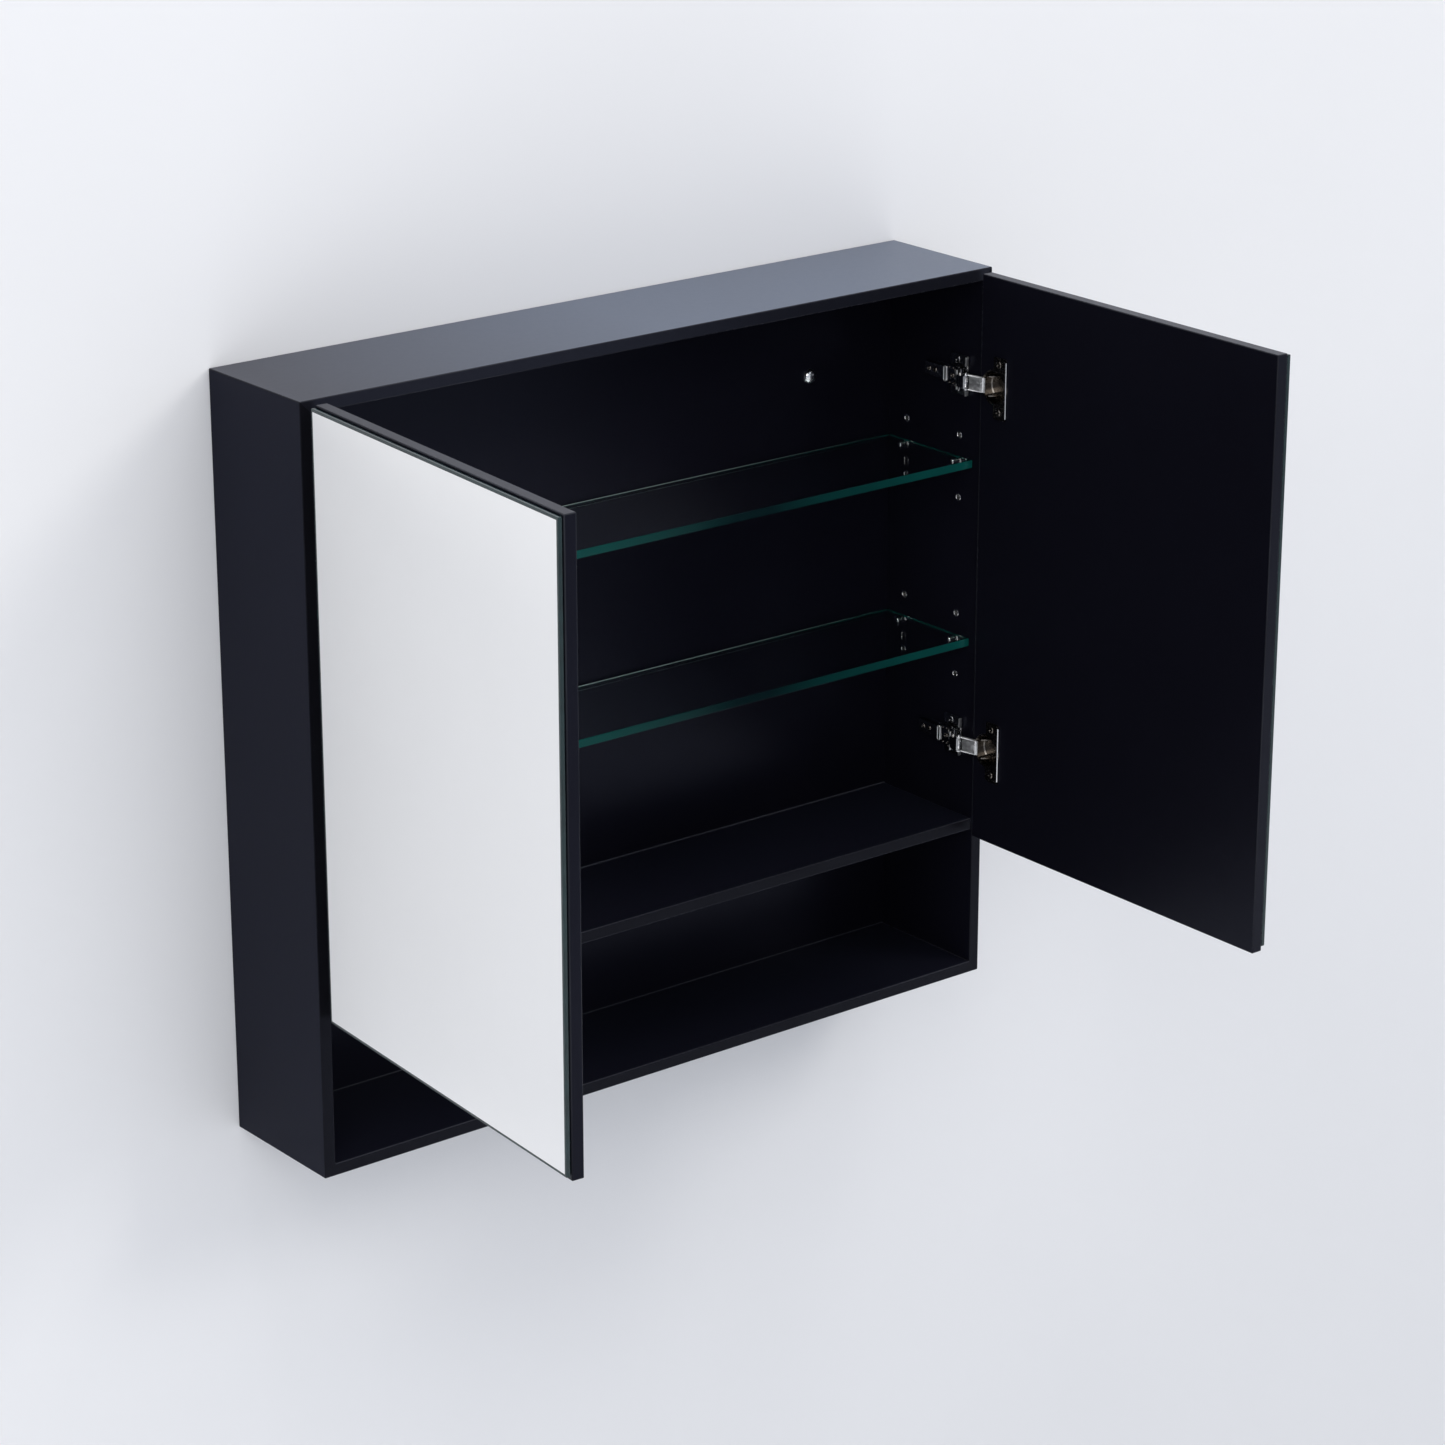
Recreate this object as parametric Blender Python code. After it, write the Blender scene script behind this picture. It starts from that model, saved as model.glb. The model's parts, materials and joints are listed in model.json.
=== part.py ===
# Two-door mirrored medicine cabinet for a family bathroom wall.
#
# Frame: +X to the right, +Y into the wall, +Z up.  The wall is the plane Y = 0 and the
# origin is the centre of the cabinet's back.  The doors stand open, as the cabinet is shown.
# Plan helpers use u (outwards from the side panel's outer face) and v (forwards from the
# carcass front), so that both sides of the cabinet come from the same numbers.

import bpy
import bmesh
from math import radians, sin, cos, pi
from mathutils import Matrix, Vector

# ---------------------------------------------------------------- driving dimensions (metres)
WIDTH = 0.800
HEIGHT = 0.736
DEPTH = 0.146
PANEL = 0.012
GAP = 0.0003
BACK_THICKNESS = 0.010

HALF_W = WIDTH / 2
HALF_H = HEIGHT / 2

MIDDLE_TOP = -0.200
MIDDLE_SETBACK = 0.0015

DOOR_TOP = 0.366
DOOR_BOTTOM = -0.214
DOOR_PANEL = 0.012
DOOR_FACE_GAP = 0.002
DOOR_EDGE = -0.001
DOOR_MEETING_GAP = 0.0015

TAPE_THICKNESS = 0.0010
MIRROR_THICKNESS = 0.004
MIRROR_SIDE_INSET = 0.001
MIRROR_TOP_INSET = 0.002
MIRROR_BOTTOM_INSET = 0.004

DOOR_PIVOT_U = -0.0074
DOOR_PIVOT_V = 0.016
RIGHT_DOOR_OPEN = 90.0
LEFT_DOOR_OPEN = 94.0

HINGE_HEIGHTS = (0.257, -0.117)
CUP_RADIUS = 0.0172
CUP_BORE_RADIUS = 0.0175
CUP_BORE_DEPTH = 0.0100
CUP_CENTRE_FROM_EDGE = 0.0205
CUP_WALL = 0.0014
FLANGE_THICKNESS = 0.0009
FLANGE_LENGTH = 0.062
CUP_SCREW_PITCH = 0.048
CUP_SCREW_OFFSET = 0.0060

LINK_PIVOT_U = -0.029
LINK_PIVOT_V = -0.004
LINK_LENGTH = 0.0209
LINK_CLOSED_ANGLE = 33.0
LINK_RATIO = 0.5
LINK_HALF_HEIGHT = 0.0076
ARM_HALF_HEIGHT = 0.0062

GLASS_THICKNESS = 0.008
GLASS_FRONT_SETBACK = 0.009
GLASS_SIDE_GAP = 0.001
GLASS_BACK_GAP = 0.0015
PIN_LEVELS = (0.163, -0.0215)
PIN_ROWS = (-0.116, -0.037)
PIN_SHAFT_RADIUS = 0.0025
PIN_BORE_RADIUS = 0.0028
PIN_BORE_DEPTH = 0.009

WALL_SCREW_X = 0.283
WALL_SCREW_Z = 0.250
WALL_SCREW_RADIUS = 0.0022
WALL_SCREW_BORE = 0.0026


# ---------------------------------------------------------------- clearing the scene
def clear_scene():
    for old in list(bpy.data.objects):
        bpy.data.objects.remove(old, do_unlink=True)


# ---------------------------------------------------------------- materials
def principled(name, colour, roughness, metallic=0.0, transmission=0.0, ior=1.45):
    material = bpy.data.materials.new(name)
    material.use_nodes = True
    shader = material.node_tree.nodes["Principled BSDF"]
    shader.inputs["Base Color"].default_value = (colour[0], colour[1], colour[2], 1.0)
    shader.inputs["Roughness"].default_value = roughness
    shader.inputs["Metallic"].default_value = metallic
    shader.inputs["Transmission Weight"].default_value = transmission
    shader.inputs["IOR"].default_value = ior
    material.diffuse_color = (colour[0], colour[1], colour[2], 1.0)
    return material


def black_lacquer(name):
    return principled(name, (0.012, 0.013, 0.016), 0.42)


def nickel(name):
    return principled(name, (0.62, 0.60, 0.57), 0.28, metallic=1.0)


def chrome(name):
    return principled(name, (0.78, 0.79, 0.80), 0.08, metallic=1.0)


def zinc_steel(name):
    return principled(name, (0.50, 0.50, 0.50), 0.40, metallic=1.0)


def clear_glass(name):
    return principled(name, (0.72, 0.90, 0.88), 0.02, transmission=0.9, ior=1.52)


def silvered_mirror(name):
    return principled(name, (0.86, 0.88, 0.89), 0.02, metallic=1.0)


def foam_tape(name):
    return principled(name, (0.02, 0.02, 0.02), 0.85)


# ---------------------------------------------------------------- mesh helpers
def new_object(name, bm, material, smooth_angle=None):
    bmesh.ops.recalc_face_normals(bm, faces=bm.faces)
    mesh = bpy.data.meshes.new(name)
    bm.to_mesh(mesh)
    bm.free()
    if smooth_angle is not None:
        mesh.shade_smooth()
        mesh.set_sharp_from_angle(angle=radians(smooth_angle))
    obj = bpy.data.objects.new(name, mesh)
    bpy.context.scene.collection.objects.link(obj)
    if material is not None:
        mesh.materials.append(material)
    return obj


def pivot_empty(name, location, angle_z):
    empty = bpy.data.objects.new(name, None)
    empty.location = location
    empty.rotation_euler = (0.0, 0.0, angle_z)
    empty.empty_display_size = 0.03
    bpy.context.scene.collection.objects.link(empty)
    return empty


def add_bevel(obj, width, segments=2):
    bevel = obj.modifiers.new("edges", "BEVEL")
    bevel.width = width
    bevel.segments = segments
    bevel.limit_method = "ANGLE"
    bevel.angle_limit = radians(40)
    return bevel


def as_cutter(obj):
    obj.hide_render = True
    obj.display_type = "WIRE"
    return obj


def add_boolean(obj, other, operation):
    as_cutter(other)
    modifier = obj.modifiers.new(other.name, "BOOLEAN")
    modifier.operation = operation
    modifier.solver = "EXACT"
    modifier.object = other
    return modifier


def box_object(name, low, high, material, bevel=0.0, segments=2):
    """A block between two corners, with its origin at its own centre."""
    centre = [(a + b) / 2 for a, b in zip(low, high)]
    size = [b - a for a, b in zip(low, high)]
    bm = bmesh.new()
    bmesh.ops.create_cube(bm, size=1.0)
    bmesh.ops.scale(bm, vec=Vector(size), verts=bm.verts)
    obj = new_object(name, bm, material)
    obj.location = centre
    if bevel > 0.0:
        add_bevel(obj, bevel, segments)
    return obj


def prism_bmesh(outline, depth_axis, low, high):
    """Extrudes a flat outline of (a, b) points from low to high along X, Y or Z."""
    bm = bmesh.new()
    order = {"X": lambda a, b, c: (c, a, b), "Y": lambda a, b, c: (a, c, b), "Z": lambda a, b, c: (a, b, c)}
    place = order[depth_axis]
    verts = [bm.verts.new(place(a, b, low)) for a, b in outline]
    face = bm.faces.new(verts)
    extruded = bmesh.ops.extrude_face_region(bm, geom=[face])
    moved = [g for g in extruded["geom"] if isinstance(g, bmesh.types.BMVert)]
    direction = Vector(place(0.0, 0.0, high - low))
    bmesh.ops.translate(bm, vec=direction, verts=moved)
    return bm


def disc_points(centre, radius, count, start=0.0, sweep=2 * pi):
    steps = count if sweep >= 2 * pi else count - 1
    points = []
    for i in range(count):
        angle = start + sweep * i / steps
        points.append((centre[0] + radius * cos(angle), centre[1] + radius * sin(angle)))
    return points


def turned_bmesh(profile, axis, count=32):
    """Spins (radius, height) points about an axis through the local origin."""
    bm = bmesh.new()
    rings = []
    for radius, height in profile:
        if radius < 1e-7:
            rings.append([bm.verts.new((0.0, 0.0, height))])
        else:
            ring = []
            for x, y in disc_points((0.0, 0.0), radius, count):
                ring.append(bm.verts.new((x, y, height)))
            rings.append(ring)
    for first, second in zip(rings, rings[1:]):
        for i in range(count):
            j = (i + 1) % count
            corners = [first[i % len(first)], first[j % len(first)]]
            corners += [second[j % len(second)], second[i % len(second)]]
            unique = []
            for corner in corners:
                if corner not in unique:
                    unique.append(corner)
            if len(unique) > 2:
                bm.faces.new(unique)
    turn = {"Z": Matrix.Identity(3), "X": Matrix.Rotation(pi / 2, 3, "Y"), "Y": Matrix.Rotation(-pi / 2, 3, "X")}
    bmesh.ops.rotate(bm, cent=(0, 0, 0), matrix=turn[axis], verts=bm.verts)
    return bm


def world_x(side, u):
    return side * (HALF_W + u)


def world_y(v):
    return -DEPTH - v


# ---------------------------------------------------------------- carcass
def bevel_long_front_edges(bm, width):
    """Rounds the two long arrises of a carcass panel's front edge and leaves its mitred ends."""
    edges = []
    for edge in bm.edges:
        a, b = edge.verts
        on_front = abs(a.co.y + DEPTH) < 1e-6 and abs(b.co.y + DEPTH) < 1e-6
        if not on_front:
            continue
        mitred = abs(abs(a.co.x - b.co.x) - abs(a.co.z - b.co.z)) < 1e-4
        if not mitred:
            edges.append(edge)
    bmesh.ops.bevel(bm, geom=edges, offset=width, segments=2, profile=0.5, affect="EDGES")


def flat_panel(name, at_top):
    """Top or bottom panel, mitred into the sides along its whole depth."""
    sign = 1.0 if at_top else -1.0
    outer = sign * HALF_H
    inner = sign * (HALF_H - PANEL)
    cut = GAP * 0.75
    outline = [
        (-HALF_W + cut, outer),
        (HALF_W - cut, outer),
        (HALF_W - PANEL - cut, inner),
        (-HALF_W + PANEL + cut, inner),
    ]
    bm = prism_bmesh(outline, "Y", -DEPTH, 0.0)
    bevel_long_front_edges(bm, 0.0010)
    return new_object(name, bm, black_lacquer(name))


def side_panel(name, side):
    """Side panel with blind bores for the shelf pins."""
    outer = side * HALF_W
    inner = side * (HALF_W - PANEL)
    cut = GAP * 0.75
    outline = [
        (outer, -HALF_H + cut),
        (outer, HALF_H - cut),
        (inner, HALF_H - PANEL - cut),
        (inner, -HALF_H + PANEL + cut),
    ]
    bm = prism_bmesh(outline, "Y", -DEPTH, 0.0)
    bevel_long_front_edges(bm, 0.0010)
    panel = new_object(name, bm, black_lacquer(name))
    for level in PIN_LEVELS:
        for row in PIN_ROWS:
            cutter = turned_bmesh(
                [(0.0, 0.0), (PIN_BORE_RADIUS, 0.0), (PIN_BORE_RADIUS, PIN_BORE_DEPTH + 0.002),
                 (0.0, PIN_BORE_DEPTH + 0.002)], "X", 12)
            bore = new_object(f"bore_{name}_{len(panel.modifiers)}", cutter, None)
            bore.location = (side * (HALF_W - PANEL - 0.002), row, level)
            if side < 0:
                bore.rotation_euler = (0.0, 0.0, pi)
            add_boolean(panel, bore, "DIFFERENCE")
    return panel


def middle_panel():
    """Fixed shelf between the closed compartment and the open niche."""
    reach = HALF_W - PANEL - GAP
    return box_object(
        "middle_panel",
        (-reach, -DEPTH + MIDDLE_SETBACK, MIDDLE_TOP - PANEL),
        (reach, -BACK_THICKNESS - GAP, MIDDLE_TOP),
        black_lacquer("middle_panel"), bevel=0.0008)


def back_panel():
    """Back let in between the carcass panels, bored for the two wall screws."""
    reach_x = HALF_W - PANEL - GAP
    reach_z = HALF_H - PANEL - GAP
    panel = box_object(
        "back_panel", (-reach_x, -BACK_THICKNESS, -reach_z), (reach_x, 0.0, reach_z),
        black_lacquer("back_panel"))
    for side in (1, -1):
        cutter = turned_bmesh(
            [(0.0, -0.002), (WALL_SCREW_BORE, -0.002), (WALL_SCREW_BORE, BACK_THICKNESS + 0.002),
             (0.0, BACK_THICKNESS + 0.002)], "Y", 20)
        bore = new_object(f"wall_bore_{side}", cutter, None)
        bore.location = (side * WALL_SCREW_X, -BACK_THICKNESS, WALL_SCREW_Z)
        add_boolean(panel, bore, "DIFFERENCE")
    return panel


# ---------------------------------------------------------------- wall fixing
def wall_screw(name, side):
    """Pan-head wall screw through the back panel; its part inside the wall is left out."""
    front = -BACK_THICKNESS - GAP
    profile = [
        (0.0, front - 0.0026),
        (0.0022, front - 0.0026),
        (0.0036, front - 0.0020),
        (0.0042, front - 0.0008),
        (0.0042, front),
        (WALL_SCREW_RADIUS, front),
        (WALL_SCREW_RADIUS, -0.0004),
        (0.0, -0.0004),
    ]
    obj = new_object(name, turned_bmesh(profile, "Y", 24), zinc_steel(name), 35)
    obj.location = (side * WALL_SCREW_X, 0.0, WALL_SCREW_Z)
    return obj


def screw_cap(name, side):
    """Hollow chrome dome that covers the wall screw's head."""
    base = -BACK_THICKNESS - GAP
    outer = 0.0078
    inner = 0.0062
    rise = 0.0052
    profile = [(outer, base)]
    for i in range(1, 8):
        angle = (pi / 2) * i / 8
        profile.append((outer * cos(angle), base - rise * sin(angle)))
    profile.append((0.0, base - rise))
    hollow = [(inner, base)]
    for i in range(1, 6):
        angle = (pi / 2) * i / 6
        hollow.append((inner * cos(angle), base - (rise - 0.0012) * sin(angle)))
    hollow.append((0.0, base - rise + 0.0012))
    bm = turned_bmesh(list(reversed(profile)) + hollow, "Y", 20)
    obj = new_object(name, bm, chrome(name), 40)
    obj.location = (side * WALL_SCREW_X, 0.0, WALL_SCREW_Z)
    return obj


# ---------------------------------------------------------------- glass shelves and their pins
def glass_shelf(name, pin_level):
    bottom = pin_level + PIN_SHAFT_RADIUS + GAP
    reach = HALF_W - PANEL - GLASS_SIDE_GAP
    return box_object(
        name,
        (-reach, -DEPTH + GLASS_FRONT_SETBACK, bottom),
        (reach, -BACK_THICKNESS - GLASS_BACK_GAP, bottom + GLASS_THICKNESS),
        clear_glass(name), bevel=0.0007)


def shelf_pin(name, side, row, level):
    """Turned nickel pin: a shaft in the side panel, a collar on its face and a rest for the glass."""
    inner_face = HALF_W - PANEL
    profile = [
        (0.0, -(PIN_BORE_DEPTH - 0.0010)),
        (0.0021, -(PIN_BORE_DEPTH - 0.0010)),
        (PIN_SHAFT_RADIUS, -(PIN_BORE_DEPTH - 0.0020)),
        (PIN_SHAFT_RADIUS, GAP),
        (0.0024, GAP + 0.0001),
        (0.0024, 0.0095),
        (0.0019, 0.0105),
        (0.0, 0.0105),
    ]
    obj = new_object(name, turned_bmesh(profile, "X", 20), nickel(name), 40)
    obj.location = (side * inner_face, row, level)
    obj.rotation_euler = (0.0, 0.0, pi if side > 0 else 0.0)
    return obj


# ---------------------------------------------------------------- concealed hinges, fixed parts
def mounting_plate(name, side, level):
    """Cross plate on the side panel: two screwed wings and a spine that the arm clips over."""
    near = -PANEL - GAP
    material = nickel(name)
    wings = box_object(
        name,
        (min(world_x(side, near), world_x(side, near - 0.0026)), world_y(-0.024), level - 0.0250),
        (max(world_x(side, near), world_x(side, near - 0.0026)), world_y(-0.050), level + 0.0250),
        material, bevel=0.0006)
    spine = box_object(
        "spine_" + name,
        (min(world_x(side, near - 0.0004), world_x(side, near - 0.0072)), world_y(-0.016), level - 0.0044),
        (max(world_x(side, near - 0.0004), world_x(side, near - 0.0072)), world_y(-0.062), level + 0.0044),
        material, bevel=0.0005)
    add_boolean(wings, spine, "UNION")
    return wings


def arm_outline():
    """Side view of the hinge arm as (v, u): a low channel that climbs to the link's pivot."""
    return [
        (-0.0740, -0.0160), (-0.0740, -0.0205), (-0.0725, -0.0218), (-0.0260, -0.0218),
        (-0.0140, -0.0318), (-0.0110, -0.0328), (-0.0030, -0.0328), (-0.0012, -0.0312),
        (-0.0010, -0.0262), (-0.0080, -0.0200), (-0.0160, -0.0160),
    ]


def arm_hollow():
    """The channel inside the arm, open towards the side panel and at both ends."""
    return [
        (-0.0760, -0.0140), (-0.0760, -0.0206), (-0.0265, -0.0206), (-0.0145, -0.0306),
        (-0.0115, -0.0316), (0.0010, -0.0316), (0.0010, -0.0140),
    ]


def hinge_arm(name, side, level):
    outline = [(world_x(side, u), world_y(v)) for v, u in arm_outline()]
    arm = new_object(
        name, prism_bmesh(outline, "Z", level - ARM_HALF_HEIGHT, level + ARM_HALF_HEIGHT), nickel(name))
    hollow = [(world_x(side, u), world_y(v)) for v, u in arm_hollow()]
    channel = new_object(
        "channel_" + name,
        prism_bmesh(hollow, "Z", level - ARM_HALF_HEIGHT + 0.0013, level + ARM_HALF_HEIGHT - 0.0013), None)
    add_boolean(arm, channel, "DIFFERENCE")
    bore = new_object(
        "pin_bore_" + name,
        turned_bmesh([(0.0, -0.009), (0.0018, -0.009), (0.0018, 0.009), (0.0, 0.009)], "Z", 20), None)
    bore.location = (world_x(side, LINK_PIVOT_U), world_y(LINK_PIVOT_V), level)
    add_boolean(arm, bore, "DIFFERENCE")
    return arm


# ---------------------------------------------------------------- concealed hinges, moving parts
def hinge_link(name, side, level, pivot):
    """Link with two ears round the arm's nose, its riveted pin and the plate that reaches the cup."""
    half = 0.0008
    knuckle = 0.0036
    start = half / knuckle
    outline = disc_points((0.0, 0.0), knuckle, 18, start, 2 * pi - 2 * start - 0.0001)
    outline.append((LINK_LENGTH - 0.0008, -half))
    outline.append((LINK_LENGTH, -half * 0.4))
    outline.append((LINK_LENGTH, half * 0.4))
    outline.append((LINK_LENGTH - 0.0008, half))
    material = nickel(name)
    link = new_object(name, prism_bmesh(outline, "Z", -LINK_HALF_HEIGHT, LINK_HALF_HEIGHT), material, 40)
    link.parent = pivot
    link.location = (0.0, 0.0, level)
    slot_half = ARM_HALF_HEIGHT + GAP
    tube = [(0.0015, -slot_half), (0.0058, -slot_half), (0.0058, slot_half), (0.0015, slot_half)]
    ring = new_object("ring_" + name, turned_bmesh(tube + [tube[0]], "Z", 24), None)
    bmesh_close_ring(ring)
    ring.parent = pivot
    ring.location = (0.0, 0.0, level)
    add_boolean(link, ring, "DIFFERENCE")
    return link


def bmesh_close_ring(obj):
    """Joins the first and last turned rings of a tube, which share their places."""
    bm = bmesh.new()
    bm.from_mesh(obj.data)
    bmesh.ops.remove_doubles(bm, verts=bm.verts, dist=1e-6)
    bmesh.ops.recalc_face_normals(bm, faces=bm.faces)
    bm.to_mesh(obj.data)
    bm.free()


def door_local(side, u, v):
    """Point of the closed door, seen from the door's pivot."""
    return (side * (u - DOOR_PIVOT_U), -(v - DOOR_PIVOT_V))


def door_block(name, side, u_range, v_range, z_range, pivot, material, bevel):
    first = door_local(side, u_range[0], v_range[0])
    second = door_local(side, u_range[1], v_range[1])
    low = (min(first[0], second[0]), min(first[1], second[1]), z_range[0])
    high = (max(first[0], second[0]), max(first[1], second[1]), z_range[1])
    block = box_object(name, low, high, material, bevel=bevel)
    block.parent = pivot
    return block


def cup_centre(side):
    return door_local(side, DOOR_EDGE - CUP_CENTRE_FROM_EDGE, DOOR_FACE_GAP)


def hinge_cup(name, side, level, pivot):
    """Shallow steel cup with its flange, let into the door from behind."""
    material = nickel(name)
    near = -GAP - FLANGE_THICKNESS
    deep = CUP_BORE_DEPTH - 0.0004
    wall = CUP_RADIUS - CUP_WALL
    profile = [
        (wall, near), (CUP_RADIUS + 0.0006, near), (CUP_RADIUS + 0.0006, -GAP),
        (CUP_RADIUS, -GAP), (CUP_RADIUS, deep - 0.0010), (CUP_RADIUS - 0.0010, deep), (0.0, deep),
        (0.0, deep - 0.0010), (wall - 0.0006, deep - 0.0010), (wall, deep - 0.0018), (wall, near),
    ]
    bm = turned_bmesh(profile, "Y", 28)
    bmesh.ops.remove_doubles(bm, verts=bm.verts, dist=1e-7)
    bmesh.ops.scale(bm, vec=(1.0, -1.0, 1.0), verts=bm.verts)
    cup = new_object(name, bm, material, 40)
    centre = cup_centre(side)
    cup.parent = pivot
    cup.location = (centre[0], centre[1], level)
    flange = flange_plate("flange_" + name, side, near)
    flange.parent = pivot
    flange.location = (centre[0], centre[1], level)
    add_boolean(cup, flange, "UNION")
    return cup


def flange_plate(name, side, near):
    """Long flange on the cup's far side, with a half-round bite where the cup's mouth is."""
    inner = CUP_RADIUS - 0.0004
    half = FLANGE_LENGTH / 2
    inward = -side
    bite = []
    for i in range(17):
        angle = -radians(84) + radians(168) * i / 16
        bite.append((inward * inner * cos(angle), inner * sin(angle)))
    outline = list(bite)
    outline.append((inward * 0.0005, half - 0.003))
    outline.append((inward * 0.0025, half))
    outline.append((inward * 0.0110, half))
    outline.append((inward * 0.0140, half - 0.004))
    outline.append((inward * 0.0195, 0.0150))
    outline.append((inward * 0.0195, -0.0150))
    outline.append((inward * 0.0140, -half + 0.004))
    outline.append((inward * 0.0110, -half))
    outline.append((inward * 0.0025, -half))
    outline.append((inward * 0.0005, -half + 0.003))
    bm = prism_bmesh(outline, "Y", -near, GAP)
    return new_object(name, bm, None)


def door_panel(name, side, pivot):
    """Lacquered door leaf with the two hinge-cup bores in its inner face."""
    leaf = HALF_W - DOOR_MEETING_GAP
    panel = door_block(
        name, side, (DOOR_EDGE, -leaf), (DOOR_FACE_GAP, DOOR_FACE_GAP + DOOR_PANEL),
        (DOOR_BOTTOM, DOOR_TOP), pivot, black_lacquer(name), 0.0009)
    centre = cup_centre(side)
    for index, level in enumerate(HINGE_HEIGHTS):
        bm = turned_bmesh(
            [(0.0, -CUP_BORE_DEPTH), (CUP_BORE_RADIUS, -CUP_BORE_DEPTH), (CUP_BORE_RADIUS, 0.004), (0.0, 0.004)],
            "Y", 28)
        bore = new_object(f"cup_bore_{name}_{index}", bm, None)
        bore.parent = pivot
        bore.location = (centre[0], centre[1], level)
        add_boolean(panel, bore, "DIFFERENCE")
    return panel


def mirror_glass(name, side, pivot):
    back = DOOR_FACE_GAP + DOOR_PANEL + GAP + TAPE_THICKNESS + GAP
    leaf = HALF_W - DOOR_MEETING_GAP
    return door_block(
        name, side, (DOOR_EDGE - MIRROR_SIDE_INSET, -leaf + MIRROR_SIDE_INSET), (back, back + MIRROR_THICKNESS),
        (DOOR_BOTTOM + MIRROR_BOTTOM_INSET, DOOR_TOP - MIRROR_TOP_INSET),
        pivot, silvered_mirror(name), 0.0006)


def mirror_tape(name, side, pivot):
    back = DOOR_FACE_GAP + DOOR_PANEL + GAP
    leaf = HALF_W - DOOR_MEETING_GAP
    return door_block(
        name, side, (DOOR_EDGE - 0.003, -leaf + 0.003), (back, back + TAPE_THICKNESS),
        (DOOR_BOTTOM + 0.006, DOOR_TOP - 0.004), pivot, foam_tape(name), 0.0)


# ---------------------------------------------------------------- assembly
def build_carcass():
    flat_panel("top_panel", True)
    flat_panel("bottom_panel", False)
    side_panel("left_side_panel", -1)
    side_panel("right_side_panel", 1)
    middle_panel()
    back_panel()
    for word, side in (("left", -1), ("right", 1)):
        wall_screw(f"wall_screw_{word}", side)
        screw_cap(f"screw_cap_{word}", side)


def build_shelves():
    for word, level in zip(("upper", "lower"), PIN_LEVELS):
        glass_shelf(f"glass_shelf_{word}", level)
        for side_word, side in (("left", -1), ("right", 1)):
            for row_word, row in zip(("front", "back"), PIN_ROWS):
                shelf_pin(f"shelf_pin_{word}_{side_word}_{row_word}", side, row, level)


def build_door(word, side, open_degrees):
    location = (world_x(side, DOOR_PIVOT_U), world_y(DOOR_PIVOT_V), 0.0)
    pivot = pivot_empty(f"{word}_door_pivot", location, side * radians(open_degrees))
    door_panel(f"{word}_door_panel", side, pivot)
    mirror_tape(f"{word}_mirror_tape", side, pivot)
    mirror_glass(f"{word}_mirror", side, pivot)
    link_angle = radians(LINK_CLOSED_ANGLE + LINK_RATIO * open_degrees)
    turn = -link_angle if side > 0 else pi + link_angle
    link_place = (world_x(side, LINK_PIVOT_U), world_y(LINK_PIVOT_V), 0.0)
    for level_word, level in zip(("upper", "lower"), HINGE_HEIGHTS):
        name = f"{word}_{level_word}"
        mounting_plate(f"mounting_plate_{name}", side, level)
        hinge_arm(f"hinge_arm_{name}", side, level)
        hinge_cup(f"hinge_cup_{name}", side, level, pivot)
        link_pivot = pivot_empty(f"link_pivot_{name}", link_place, turn)
        hinge_link(f"hinge_link_{name}", side, level, link_pivot)


clear_scene()
build_carcass()
build_shelves()
build_door("left", -1, LEFT_DOOR_OPEN)
build_door("right", 1, RIGHT_DOOR_OPEN)
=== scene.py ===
# Looks of a two-door mirrored medicine cabinet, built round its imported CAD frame.
#
# Frame: +X right, +Y into the wall, +Z up, metres.  The wall is the plane Y = 0.
# Door pieces are made where they lie with the doors closed, and then swung to the rest pose.

import json
from math import cos, pi, radians, sin

import bmesh
import bpy
from mathutils import Matrix, Vector


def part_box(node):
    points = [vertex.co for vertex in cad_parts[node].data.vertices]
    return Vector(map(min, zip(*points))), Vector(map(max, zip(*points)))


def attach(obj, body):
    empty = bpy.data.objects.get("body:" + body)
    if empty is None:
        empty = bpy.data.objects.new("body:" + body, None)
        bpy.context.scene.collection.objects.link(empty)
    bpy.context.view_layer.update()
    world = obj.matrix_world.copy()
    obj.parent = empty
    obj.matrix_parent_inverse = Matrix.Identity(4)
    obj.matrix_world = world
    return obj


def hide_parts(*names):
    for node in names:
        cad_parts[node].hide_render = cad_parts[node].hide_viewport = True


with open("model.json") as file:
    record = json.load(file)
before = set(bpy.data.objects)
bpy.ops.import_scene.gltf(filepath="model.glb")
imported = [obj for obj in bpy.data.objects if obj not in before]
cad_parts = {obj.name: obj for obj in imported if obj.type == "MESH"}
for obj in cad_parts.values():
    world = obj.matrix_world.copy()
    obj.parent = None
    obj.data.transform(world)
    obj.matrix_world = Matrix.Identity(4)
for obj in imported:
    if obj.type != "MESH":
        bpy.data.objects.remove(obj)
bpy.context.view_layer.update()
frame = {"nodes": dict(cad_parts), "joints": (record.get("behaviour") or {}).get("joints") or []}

NODES = frame["nodes"]

# ---------------------------------------------------------------- places read from the frame
CARCASS_HALF_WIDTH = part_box("top_panel")[1].x
CARCASS_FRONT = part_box("top_panel")[0].y
CARCASS_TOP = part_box("top_panel")[1].z
BOARD = CARCASS_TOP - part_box("top_panel")[0].z
INNER_FACE = CARCASS_HALF_WIDTH - BOARD
HINGE_PLACE = {j["name"]: Vector(j["pos_m"]) for j in frame["joints"]}

# ---------------------------------------------------------------- the object's own dimensions
OPEN_DEGREES = {"left": 94.0, "right": 90.0}
SIDES = {"left": -1, "right": 1}
HINGE_LEVELS = {"upper": 0.257, "lower": -0.117}

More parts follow.
